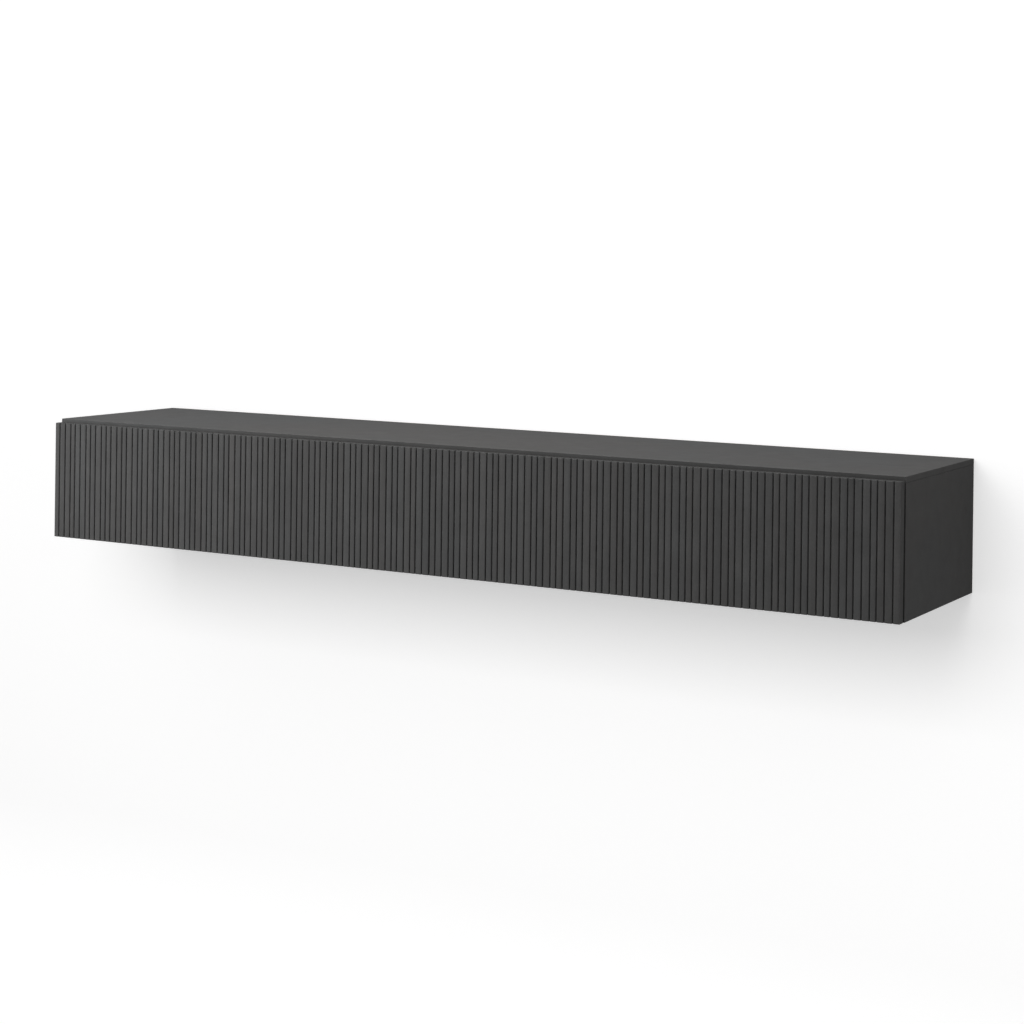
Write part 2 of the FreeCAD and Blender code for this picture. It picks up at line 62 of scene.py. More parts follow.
# Construction sizes in millimetres: X from mid width, Y = 0 on the wall and
# -Y to the room, Z from the carcass underside.
WIDTH, DEPTH, HEIGHT = 2000.0, 397.0, 265.0
BOARD, TOP_T = 16.0, 12.0
HALF, IN_X = WIDTH / 2, WIDTH / 2 - BOARD
FRONT = -DEPTH
GAP, FLAP_T, FLAP_H = 4.0, 19.0, 257.0
FLAP_INSET, SEAM = 2.0, 3.0
FLAP_BACK = FRONT - GAP
FLAP_FRONT = FLAP_BACK - FLAP_T
UNDER_TOP = HEIGHT - TOP_T
BACK_Y0, BACK_Y1 = -26.0, -21.0
RIBS_LEFT, RIBS_RIGHT = 67, 68
RIB_PITCH, RIB_SWING, RIB_CYCLE, RIB_PHASE = 14.8, 2.0, 5.0 / 16.0, -170.0
GROOVE_W, GROOVE_WB, GROOVE_D = 2.6, 2.2, 4.0


def P(x, y, z):
    """Construction millimetres to the frame's metres."""
    return Vector((x * MM, y * MM, (z - WALL_Z) * MM))


# ------------------------------------------------------------------ camera
cam_data = bpy.data.cameras.new("camera")
cam = bpy.data.objects.new("camera", cam_data)
scene.collection.objects.link(cam)
scene.camera = cam
cam_data.sensor_width = 36.0
cam_data.sensor_fit = "HORIZONTAL"
cam_data.lens = 36.0 * 2135.5 / 1024.0
cam_data.shift_y = -(512.0 - 240.4) / 1024.0
cam_data.clip_start, cam_data.clip_end = 0.05, 60.0
cam.location = (2.290, -4.109, 0.473)
level = Matrix.Rotation(math.radians(29.708), 4, "Z") @ Matrix.Rotation(math.radians(90.0), 4, "X")
cam.rotation_euler = (level @ Matrix.Rotation(math.radians(0.74), 4, "Z")).to_euler()


# ------------------------------------------------------------ mesh helpers
def new_mesh(bm, name):
    me = bpy.data.meshes.new(name)
    bm.normal_update()
    bm.to_mesh(me)
    bm.free()
    return me


def cad_shape(node):
    """A welded copy of a CAD node's mesh, free of its own normals."""
    bm = bmesh.new()
    bm.from_mesh(NODES[node].data)
    bmesh.ops.remove_doubles(bm, verts=bm.verts, dist=2e-6)
    me = new_mesh(bm, node + "_shape")
    for a in ("custom_normal", "sharp_face", "sharp_edge"):
        if a in me.attributes:
            me.attributes.remove(me.attributes[a])
    me.materials.clear()
    return me


def boolean(a, b, how):
    """Mesh a with mesh b taken off it, or kept only where both are."""
    oa, ob = bpy.data.objects.new("bool_a", a), bpy.data.objects.new("bool_b", b)
    for o in (oa, ob):
        scene.collection.objects.link(o)
    m = oa.modifiers.new("cut", "BOOLEAN")
    m.operation, m.solver, m.object = how, "MANIFOLD", ob
    dg = bpy.context.evaluated_depsgraph_get()
    out = bpy.data.meshes.new_from_object(oa.evaluated_get(dg), depsgraph=dg)
    for o in (oa, ob):
        bpy.data.objects.remove(o)
    return out


def rounded_prism(axis, lo, hi, radii, steps=4, spare=0.002):
    """A bar along one axis whose section is the box's, with each corner rounded.
    radii follow the corners (low, low), (high, low), (high, high), (low, high)
    of the two other axes in the order Y Z, X Z or X Y."""
    u, v = [i for i in range(3) if i != axis]
    c = [(lo[u] - spare, lo[v] - spare), (hi[u] + spare, lo[v] - spare),
         (hi[u] + spare, hi[v] + spare), (lo[u] - spare, hi[v] + spare)]
    sign = [(1, 1), (-1, 1), (-1, -1), (1, -1)]
    start = [180.0, 270.0, 0.0, 90.0]
    section = []
    for (pu, pv), (su, sv), a0, r in zip(c, sign, start, radii):
        if r <= 0:
            section.append((pu, pv))
            continue
        r += spare
        for k in range(steps + 1):
            a = math.radians(a0 + 90.0 * k / steps)
            section.append((pu + su * r + r * math.cos(a), pv + sv * r + r * math.sin(a)))
    bm = bmesh.new()
    rings = []
    for w in (lo[axis] - 5.0, hi[axis] + 5.0):
        ring = []
        for pu, pv in section:
            p = [0.0, 0.0, 0.0]
            p[axis], p[u], p[v] = w, pu, pv
            ring.append(bm.verts.new(P(*p)))
        rings.append(ring)
    n = len(section)
    for k in range(n):
        bm.faces.new((rings[0][k], rings[0][(k + 1) % n], rings[1][(k + 1) % n], rings[1][k]))
    bm.faces.new(rings[0])
    bm.faces.new(rings[1])
    bmesh.ops.recalc_face_normals(bm, faces=bm.faces)
    return new_mesh(bm, "prism")


def tidy(me):
    """Weld the points that the cuts leave next to each other and drop the
    slivers between them, at the first distance that keeps the board closed."""
    for near in (4e-6, 6e-6, 8e-6, 1e-5, 3e-6, 2e-6):
        bm = bmesh.new()
        bm.from_mesh(me)
        bmesh.ops.remove_doubles(bm, verts=bm.verts, dist=near)
        bmesh.ops.dissolve_degenerate(bm, edges=bm.edges, dist=near)
        bmesh.ops.triangulate(bm, faces=bm.faces)
        bmesh.ops.dissolve_degenerate(bm, edges=bm.edges, dist=near)
        if all(e.is_manifold for e in bm.edges):
            return new_mesh(bm, me.name)
        bm.free()
    return me


def eased(node, lo, hi, rx=None, ry=None, rz=None):
    """The CAD node's shape, bores and all, with its long edges rounded over."""
    me = cad_shape(node)
    for axis, radii in ((0, rx), (1, ry), (2, rz)):
        if radii:
            me = boolean(me, rounded_prism(axis, lo, hi, radii), "INTERSECT")
    return tidy(me)


def soften(obj, angle=38.0):
    """Smooth over the roundings while the flats stay flat."""
    me = obj.data
    me.polygons.foreach_set("use_smooth", [True] * len(me.polygons))
    me.set_sharp_from_angle(angle=math.radians(angle))
    w = obj.modifiers.new("weighted", "WEIGHTED_NORMAL")
    w.keep_sharp, w.weight, w.mode = True, 100, "FACE_AREA"


def piece(name, me, body, slot, mats, *nodes):
    obj = bpy.data.objects.new(name, me)
    scene.collection.objects.link(obj)
    me.name = name
    me.materials.clear()
    for m in mats:
        me.materials.append(m)
    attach(obj, body)
    if nodes:
        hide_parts(*nodes)
    return obj


# -------------------------------------------------------- material helpers
class Nodes:
    """A short hand for building one node tree. Places are in metres."""

    def __init__(self, name):
        self.mat = bpy.data.materials.new(name)
        self.mat.use_nodes = True
        self.t = self.mat.node_tree
        self.t.nodes.clear()
        self.out = self.t.nodes.new("ShaderNodeOutputMaterial")
        self.p = self.t.nodes.new("ShaderNodeBsdfPrincipled")
        self.t.links.new(self.p.outputs[0], self.out.inputs["Surface"])
        self.co = self.t.nodes.new("ShaderNodeTexCoord")
        self.at = self.co.outputs["Object"]

    def put(self, socket, value):
        if isinstance(value, bpy.types.NodeSocket):
            self.t.links.new(value, socket)
        elif value is not None:
            socket.default_value = value

    def node(self, kind, out=0, ins=None, **props):
        n = self.t.nodes.new(kind)
        for k, v in props.items():
            setattr(n, k, v)
        for k, v in (ins or {}).items():
            self.put(n.inputs[k], v)
        return n.outputs[out]

    def scaled(self, s, turn=(0.0, 0.0, 0.0), shift=(0.0, 0.0, 0.0)):
        return self.node("ShaderNodeMapping", ins={"Vector": self.at, "Scale": s, "Rotation": turn, "Location": shift})

    def noise(self, scale, detail=3.0, rough=0.5, vector=None, warp=0.0):
        return self.node("ShaderNodeTexNoise", ins={
            "Vector": self.at if vector is None else vector, "Scale": scale, "Detail": detail,
            "Roughness": rough, "Distortion": warp})

    def cells(self, scale, vector=None, feature="F1", out="Distance", jitter=1.0):
        return self.node("ShaderNodeTexVoronoi", out=out, feature=feature, ins={
            "Vector": self.at if vector is None else vector, "Scale": scale, "Randomness": jitter})

    def math(self, op, a, b=None, c=None, clamp=False):
        n = self.t.nodes.new("ShaderNodeMath")
        n.operation, n.use_clamp = op, clamp
        for s, v in zip(n.inputs, (a, b, c)):
            self.put(s, v)
        return n.outputs[0]

    def map(self, v, a, b, c, d, smooth=False):
        return self.node("ShaderNodeMapRange", interpolation_type="SMOOTHSTEP" if smooth else "LINEAR",
                         ins={"Value": v, "From Min": a, "From Max": b, "To Min": c, "To Max": d})

    def mix(self, f, a, b, kind="MIX"):
        n = self.t.nodes.new("ShaderNodeMix")
        n.data_type, n.blend_type = "RGBA", kind
        for s, v in ((n.inputs[0], f), (n.inputs[6], a), (n.inputs[7], b)):
            self.put(s, (*v, 1.0) if isinstance(v, tuple) and len(v) == 3 else v)
        return n.outputs[2]

    def shade(self, colour, factor):
        """The colour times a grey factor."""
        g = self.node("ShaderNodeCombineColor", ins={0: factor, 1: factor, 2: factor})
        return self.mix(1.0, colour, g, "MULTIPLY")

    def xyz(self, source=None):
        n = self.t.nodes.new("ShaderNodeSeparateXYZ")
        self.put(n.inputs[0], self.at if source is None else source)
        return n.outputs

    def bump(self, *layers):
        """layers of (height socket, depth in metres), the broadest first."""
        normal = None
        for height, depth in layers:
            normal = self.node("ShaderNodeBump", ins={
                "Strength": 1.0, "Distance": depth, "Height": height, **({"Normal": normal} if normal else {})})
        self.put(self.p.inputs["Normal"], normal)

    def edges(self, low=0.90, high=0.995):
        """1 on eased edges of a straight board, 0 on its flats."""
        x, y, z = self.xyz(self.co.outputs["Normal"])
        big = self.math("MAXIMUM", self.math("MAXIMUM", self.math("ABSOLUTE", x), self.math("ABSOLUTE", y)),
                        self.math("ABSOLUTE", z))
        return self.map(big, low, high, 1.0, 0.0)

    def set(self, **values):
        for k, v in values.items():
            self.put(self.p.inputs[k.replace("_", " ")], v)
        return self.mat


LACQUER = (0.0630, 0.0629, 0.0627)


def lacquer(name, base=LACQUER, ribs=False, inside=False):
    """Matte anthracite lacquer over fibreboard: an even grey with a faint
    cloudiness, a fine pebble from the spray gun and slightly rubbed edges."""
    n = Nodes(name)
    cloud = n.noise(5.0, 4.0, 0.55)
    speck = n.noise(1400.0, 2.0, 0.6)
    mottle = n.noise(30.0, 3.0, 0.55)
    grain = n.noise(330.0, 2.0, 0.55)
    level = n.math("MULTIPLY", n.map(cloud, 0.3, 0.7, 0.985, 1.015), n.map(mottle, 0.3, 0.7, 0.945, 1.055))
    level = n.math("MULTIPLY", level, n.map(grain, 0.3, 0.7, 0.935, 1.065))
    level = n.math("MULTIPLY", level, n.map(speck, 0.25, 0.75, 0.89, 1.11))
    warm, cool = tuple(base[i] * k for i, k in enumerate((1.018, 1.0, 0.985))), tuple(
        base[i] * k for i, k in enumerate((0.985, 1.002, 1.006)))
    tint = n.map(n.noise(2.6, 2.0, 0.5, n.scaled((1.0, 1.0, 1.0), shift=(3.1, 7.7, 1.3))), 0.35, 0.65, 0.0, 1.0)
    if ribs:
        tone = n.node("ShaderNodeAttribute", out="Fac", attribute_name="rib_tone")
        hue = n.node("ShaderNodeAttribute", out="Fac", attribute_name="rib_hue")
        level = n.math("MULTIPLY", level, n.map(tone, 0.0, 1.0, 0.925, 1.075))
        tint = n.math("ADD", n.math("MULTIPLY", tint, 0.35), n.math("MULTIPLY", hue, 0.65))
        # long faint streaks left along the ribs by the sanding
        streak = n.noise(1.0, 3.0, 0.6, n.scaled((420.0, 420.0, 3.0)))
        level = n.math("MULTIPLY", level, n.map(streak, 0.3, 0.7, 0.955, 1.045))
        drift = n.noise(1.0, 2.0, 0.5, n.scaled((75.0, 75.0, 17.0), shift=(2.3, 0.0, 5.1)))
        level = n.math("MULTIPLY", level, n.map(drift, 0.3, 0.7, 0.93, 1.07))
        # painted shade: the flap's upper and lower faces are darkened, shade painted into their colour
        ends = n.map(n.math("ABSOLUTE", n.xyz(n.co.outputs["Normal"])[2]), 0.90, 1.0, 1.0, 0.72)
        level = n.math("MULTIPLY", level, ends)
    colour = n.shade(n.mix(tint, warm, cool), level)
    edge = n.edges(0.80, 0.985)
    rub = n.math("MULTIPLY", edge, n.map(n.noise(55.0, 3.0, 0.6), 0.35, 0.7, 0.1, 1.0, True))
    colour = n.mix(n.math("MULTIPLY", rub, 0.30), colour, tuple(c * 1.9 for c in base))
    smudge = n.noise(14.0, 4.0, 0.6, warp=0.8)
    rough = n.map(smudge, 0.3, 0.7, 0.54, 0.59)
    rough = n.math("SUBTRACT", rough, n.math("MULTIPLY", rub, 0.08))
    pebble = n.noise(620.0, 2.0, 0.5)
    fine = n.noise(2600.0, 2.0, 0.5)
    wave = n.noise(28.0, 1.0, 0.5)
    n.bump((wave, 0.000012), (pebble, 0.000030), (fine, 0.000010))
    return n.set(Base_Color=colour, Roughness=rough, Specular_IOR_Level=0.22)


def raw_edge(name):
    """The uncoated edge of a chipboard panel, where it meets the wall."""
    n = Nodes(name)
    v = n.scaled((1.0, 1.0, 1.0))
    chip = n.cells(330.0, v, out="Color")
    tone = n.node("ShaderNodeSeparateColor", ins={0: chip})
    gap = n.cells(330.0, v, feature="DISTANCE_TO_EDGE")
    fibre = n.noise(1500.0, 3.0, 0.7)
    colour = n.mix(tone, (0.30, 0.19, 0.095), (0.52, 0.37, 0.21))
    colour = n.shade(colour, n.map(fibre, 0.3, 0.7, 0.85, 1.12))
    colour = n.mix(n.map(gap, 0.0, 0.10, 0.7, 0.0), colour, (0.09, 0.055, 0.03))
    n.bump((n.map(gap, 0.0, 0.15, 0.0, 1.0), 0.00025), (fibre, 0.00008))
    return n.set(Base_Color=colour, Roughness=n.map(fibre, 0.3, 0.7, 0.8, 0.95), Specular_IOR_Level=0.2)


def melamine(name, base, rear=None, raw=(0.33, 0.22, 0.12)):
    """Matte foil with a fine pearl grain. Where rear is given, faces behind
    that plane show the bare fibreboard."""
    n = Nodes(name)
    cloud = n.noise(7.0, 3.0, 0.5)
    pearl = n.cells(900.0)
    grain = n.noise(1900.0, 2.0, 0.6)
    level = n.math("MULTIPLY", n.map(cloud, 0.3, 0.7, 0.96, 1.04), n.map(grain, 0.3, 0.7, 0.92, 1.08))
    colour = n.shade(base, level)
    rough = n.map(n.noise(16.0, 3.0, 0.6), 0.3, 0.7, 0.52, 0.64)
    if rear is not None:
        y = n.xyz()[1]
        back = n.map(y, rear - 0.0002, rear, 0.0, 1.0)
        fibre = n.noise(700.0, 4.0, 0.7, n.scaled((1.0, 1.0, 1.0)), warp=1.5)
        bare = n.shade(raw, n.map(fibre, 0.25, 0.75, 0.78, 1.2))
        bare = n.mix(n.map(n.noise(180.0, 2.0, 0.5), 0.60, 0.72, 0.0, 0.45), bare, tuple(c * 0.45 for c in raw))
        colour = n.mix(back, colour, bare)
        rough = n.math("ADD", rough, n.math("MULTIPLY", back, 0.25))
    n.bump((pearl, 0.00003), (grain, 0.000015))
    return n.set(Base_Color=colour, Roughness=rough, Specular_IOR_Level=0.25)


def metal(name, base, rough, brushed=None, worn=0.0, depth=0.000004, blotch=0.05):
    """Plated or drawn metal. brushed is the scale along X, Y and Z, small
    along the lines."""
    n = Nodes(name)
    cloud = n.noise(60.0, 3.0, 0.6)
    lines = n.noise(1.0, 3.0, 0.6, n.scaled(brushed)) if brushed else n.noise(900.0, 3.0, 0.6)
    level = n.math("MULTIPLY", n.map(cloud, 0.3, 0.7, 1.0 - blotch, 1.0 + blotch), n.map(lines, 0.3, 0.7, 0.93, 1.07))
    colour = n.shade(base, level)
    r = n.math("ADD", n.map(cloud, 0.3, 0.7, rough - 0.05, rough + 0.06), n.map(lines, 0.3, 0.7, -0.04, 0.04))
    n.bump((n.noise(240.0, 2.0, 0.5), 0.000012), (lines, depth))
    return n.set(Base_Color=colour, Roughness=r, Metallic=1.0)


def plastic(name, base, rough, grain=1100.0, depth=0.00003, spec=0.45, soft=0.0):
    """Moulded plastic with a spark-eroded grain."""
    n = Nodes(name)
    pit = n.cells(grain)
    cloud = n.noise(40.0, 3.0, 0.5)
    fine = n.noise(2400.0, 2.0, 0.6)
    level = n.math("MULTIPLY", n.map(cloud, 0.3, 0.7, 0.95, 1.06), n.map(fine, 0.3, 0.7, 0.94, 1.06))
    colour = n.shade(base, level)
    r = n.math("ADD", n.map(cloud, 0.3, 0.7, rough - 0.05, rough + 0.07), n.map(pit, 0.0, 0.6, -0.03, 0.03))
    n.bump((n.noise(120.0, 1.0, 0.5), 0.00002), (pit, depth), (fine, 0.000006))
    return n.set(Base_Color=colour, Roughness=r, Specular_IOR_Level=spec, Subsurface_Weight=soft)


def beech(name):
    """Beech dowel, grain along X, with the short brown flecks of its rays."""
    n = Nodes(name)
    v = n.scaled((18.0, 620.0, 620.0))
    grain = n.noise(1.0, 4.0, 0.65, v, warp=0.4)
    fleck = n.cells(1.0, n.scaled((160.0, 1500.0, 1500.0)))
    colour = n.mix(n.map(grain, 0.3, 0.7, 0.0, 1.0), (0.50, 0.31, 0.17), (0.68, 0.47, 0.29))
    colour = n.mix(n.map(fleck, 0.05, 0.22, 0.55, 0.0), colour, (0.30, 0.16, 0.08))
    n.bump((grain, 0.00008))
    return n.set(Base_Color=colour, Roughness=n.map(grain, 0.3, 0.7, 0.62, 0.78), Specular_IOR_Level=0.3)


M_BODY = lacquer("anthracite_lacquer")
M_RIBS = lacquer("anthracite_lacquer_ribs", ribs=True)
# painted shade: half as light as the lacquer, for the carcass front edges, so the gap behind the flaps reads as shadow
M_GAP_SHADE = lacquer("painted_gap_shade", tuple(c * 0.5 for c in LACQUER))
# painted shade: a little darker than the lacquer, for the top's front edge above the flaps
M_LIP_SHADE = lacquer("painted_lip_shade", tuple(c * 0.84 for c in LACQUER))
M_RAW = raw_edge("raw_chipboard_edge")
M_BACK = melamine("back_board_foil", (0.058, 0.058, 0.0585), rear=-0.0212)
M_RAIL = melamine("rail_board_foil", (0.062, 0.062, 0.0625))
M_ALU = metal("anodised_aluminium", (0.66, 0.67, 0.68), 0.36, (6.0, 2600.0, 2600.0), depth=0.000006)
M_ZINC = metal("cast_zinc", (0.50, 0.50, 0.52), 0.42, None, depth=0.00002, blotch=0.10)
M_HINGE = metal("black_nickel_strip", (0.20, 0.20, 0.205), 0.30, (8.0, 1800.0, 1800.0))
M_STAY = metal("satin_nickel", (0.27, 0.267, 0.26), 0.42, (1500.0, 160.0, 160.0))
M_SCREW = metal("zinc_plated_steel", (0.60, 0.60, 0.605), 0.30, None, depth=0.000006, blotch=0.12)
M_BLACK = plastic("matte_black_plastic", (0.018, 0.018, 0.0185), 0.50)
M_GREY = plastic("dark_grey_housing", (0.085, 0.087, 0.090), 0.46)
M_PLUNGER = plastic("light_grey_acetal", (0.50, 0.51, 0.52), 0.34, 1600.0, 0.00001, soft=0.05)
M_RUBBER = plastic("bumper_rubber", (0.035, 0.035, 0.035), 0.72, 700.0, 0.00002, 0.35)
M_BEECH = beech("beech")

BY_SLOT = {
    "anthracite_lacquer": M_BODY, "back_board": M_BACK, "rail_board": M_RAIL,
    "aluminium_profile": M_ALU, "beech": M_BEECH, "zinc_fitting": M_ZINC,
    "black_plastic": M_BLACK, "grey_plastic": M_GREY, "plunger_plastic": M_PLUNGER,
    "bumper_rubber": M_RUBBER, "hinge_steel": M_HINGE, "stay_steel": M_STAY, "screw_steel": M_SCREW,
}
for node, obj in NODES.items():
    for s in obj.material_slots:
        if s.material and s.material.name.split(".")[0] in BY_SLOT:
            s.material = BY_SLOT[s.material.name.split(".")[0]]


# ------------------------------------------------------------ ribbed flaps
def rib_edges(first, count, x0, x1):
    w = [RIB_PITCH + RIB_SWING * math.cos(2 * math.pi * RIB_CYCLE * i + math.radians(RIB_PHASE))
         for i in range(first, first + count)]
    k = (x1 - x0) / sum(w)
    xs, x = [], x0
    for v in w[:-1]:
        x += v * k
        xs.append(x)
    return xs


def flap_mesh(x0, x1, first, count, name):
    """One flap: the ribs and grooves of its section, rounded, carried through
    a stack of levels whose ends draw in to round the top and bottom."""
    r, steps, crown = 1.2, 5, 0.3
    yf, yb = FLAP_FRONT, FLAP_BACK
    hw, hb = GROOVE_W / 2, GROOVE_WB / 2
    arc = [math.radians(90.0 * k / steps) for k in range(steps + 1)]

    def rise(x):  # from an edge that faces -X round onto the face
        return [(x + r - r * math.cos(a), yf + r - r * math.sin(a)) for a in arc]

    def fall(x):
        return [(x - r + r * math.sin(a), yf + r - r * math.cos(a)) for a in arc]

    pts, rib = [], []

    def add(ps, i):
        pts.extend(ps)
        rib.extend([i] * len(ps))

    cuts = rib_edges(first, count, x0, x1)
    for i, (xl, xr) in enumerate(zip([x0] + [g + hw for g in cuts], [g - hw for g in cuts] + [x1])):
        # a rib's face is very slightly crowned, as sanding leaves it
        mid, half = (xl + xr) / 2, (xr - xl) / 2
        face = [(xl + r + (xr - xl - 2 * r) * f, yf) for f in (0.13, 0.30, 0.5, 0.70, 0.87)]
        add([(x, y + crown * abs((x - mid) / half) ** 3) for x, y in rise(xl) + face + fall(xr)], i)
        if i < count - 1:
            g = cuts[i]
            add([(g - hb - 0.05, yf + GROOVE_D - 0.35), (g - hb + 0.30, yf + GROOVE_D)], i)
            add([(g + hb - 0.30, yf + GROOVE_D), (g + hb + 0.05, yf + GROOVE_D - 0.35)], i + 1)
    rt, rb = 0.6, 0.35
    levels = [(rt - rt * math.cos(math.radians(90.0 * k / steps)),
               rt - rt * math.sin(math.radians(90.0 * k / steps))) for k in range(steps + 1)]
    stack = [(z, off, max(0.0, rb - math.sqrt(max(0.0, rb * rb - max(0.0, rb - z) ** 2)))) for z, off in levels]
    stack += [(FLAP_H - z, off, ob) for z, off, ob in reversed(stack)]
    bm = bmesh.new()
    tone_l = bm.verts.layers.float.new("rib_tone")
    hue_l = bm.verts.layers.float.new("rib_hue")
    rnd = random.Random(42 + first)
    tones = [rnd.random() for _ in range(count)]
    hues = [rnd.random() for _ in range(count)]
    fronts, backs = [], []
    for z, off, ob in stack:
        f, b = [], []
        for (x, y), i in zip(pts, rib):
            v = bm.verts.new(P(x, max(y, yf + off), z))
            v[tone_l], v[hue_l] = tones[i], hues[i]
            f.append(v)
            v = bm.verts.new(P(x, yb - ob, z))
            v[tone_l], v[hue_l] = 0.5, 0.5
            b.append(v)
        fronts.append(f)
        backs.append(b)
    n = len(pts)
    for lo in range(len(stack) - 1):
        for k in range(n - 1):
            bm.faces.new((fronts[lo][k], fronts[lo][k + 1], fronts[lo + 1][k + 1], fronts[lo + 1][k]))
            bm.faces.new((backs[lo][k + 1], backs[lo][k], backs[lo + 1][k], backs[lo + 1][k + 1]))
        bm.faces.new((backs[lo][0], fronts[lo][0], fronts[lo + 1][0], backs[lo + 1][0]))
        bm.faces.new((fronts[lo][-1], backs[lo][-1], backs[lo + 1][-1], fronts[lo + 1][-1]))
    for k in range(n - 1):
        bm.faces.new((fronts[0][k + 1], fronts[0][k], backs[0][k], backs[0][k + 1]))
        bm.faces.new((fronts[-1][k], fronts[-1][k + 1], backs[-1][k + 1], backs[-1][k]))
    bmesh.ops.remove_doubles(bm, verts=bm.verts, dist=1e-7)
    bmesh.ops.dissolve_degenerate(bm, edges=bm.edges, dist=1e-7)
    bmesh.ops.recalc_face_normals(bm, faces=bm.faces)
    return new_mesh(bm, name)


for side, x0, x1, first, count in (("left", -(HALF - FLAP_INSET), -SEAM / 2, 0, RIBS_LEFT),
                                   ("right", SEAM / 2, HALF - FLAP_INSET, RIBS_LEFT, RIBS_RIGHT)):
    o = piece("flap_ribbed_front_" + side, flap_mesh(x0, x1, first, count, "flap_" + side),
              "flap_" + side, "anthracite_lacquer", [M_RIBS, M_BODY], "flap_panel_" + side)
    for f in o.data.polygons:
        f.material_index = 1 if f.normal.y > 0.9 else 0
    soften(o, 50.0)

# ------------------------------------------------------------- the carcass
R1, R2, R3, RJ = 0.8, 0.6, 0.25, 1.3  # RJ shows the joint under the top


def board(name, node, lo, hi, rx, ry, rz, mat, slot, front=None):
    """A carcass board. Its rear edge is bare, and front is the material of its
    front edge: a much darker lacquer that paints shade into the gap behind
    the flaps, or a darker one that paints shade on the top's front edge."""
    me = eased(node, lo, hi, rx, ry, rz)
    o = piece(name, me, "carcass", slot, [mat, M_RAW, front or mat], node)
    # rear faces show the bare edge; front faces take the front material, which paints shade onto them
    for f in me.polygons:
        if f.normal.y > 0.9 and f.center.y > -0.0005:
            f.material_index = 1
        elif front and f.normal.y < -0.9 and f.center.y < FRONT * MM + 0.0005:
            f.material_index = 2
    soften(o)
    return o


# corners run (low, low), (high, low), (high, high), (low, high)
# the top's front edge takes painted shade
board("top_panel_eased", "top_panel", (-HALF, FRONT, UNDER_TOP), (HALF, 0.0, HEIGHT),
      (RJ, R3, R2, R1), (RJ, RJ, R1, R1), (R1, R1, R2, R2), M_BODY, "anthracite_lacquer", M_LIP_SHADE)
# the side panels, bottom and partition take painted gap shade on their front edges
board("left_side_panel_eased", "left_side_panel", (-HALF, FRONT, 0.0), (-IN_X, 0.0, UNDER_TOP),
      (R2, R2, R3, R3), (R1, R3, R3, R3), (R2, R2, R3, R2), M_BODY, "anthracite_lacquer", M_GAP_SHADE)
board("right_side_panel_eased", "right_side_panel", (IN_X, FRONT, 0.0), (HALF, 0.0, UNDER_TOP),
      (R2, R2, R3, R3), (R3, R1, R3, R3), (R2, R2, R2, R3), M_BODY, "anthracite_lacquer", M_GAP_SHADE)
board("bottom_panel_eased", "bottom_panel", (-IN_X, FRONT, 0.0), (IN_X, 0.0, BOARD),
      (R2, R2, R3, R2), (R3, R3, 0, 0), None, M_BODY, "anthracite_lacquer", M_GAP_SHADE)
board("centre_partition_eased", "centre_partition", (-BOARD / 2, FRONT, BOARD), (BOARD / 2, BACK_Y0, UNDER_TOP),
      None, None, (R2, R2, 0, 0), M_BODY, "anthracite_lacquer", M_GAP_SHADE)
for side, lo, hi in (("left", -IN_X, -BOARD / 2), ("right", BOARD / 2, IN_X)):
    board("front_rail_%s_eased" % side, "front_rail_" + side, (lo, FRONT, UNDER_TOP - BOARD),
          (hi, FRONT + 70.0, UNDER_TOP), (R2, R2, 0, 0), None, None, M_RAIL, "rail_board")
    board("nailer_%s_eased" % side, "nailer_" + side, (lo, BACK_Y0 - BOARD, UNDER_TOP - 80.0),
          (hi, BACK_Y0, UNDER_TOP), (R2, R3, 0, 0), None, None, M_RAIL, "rail_board")


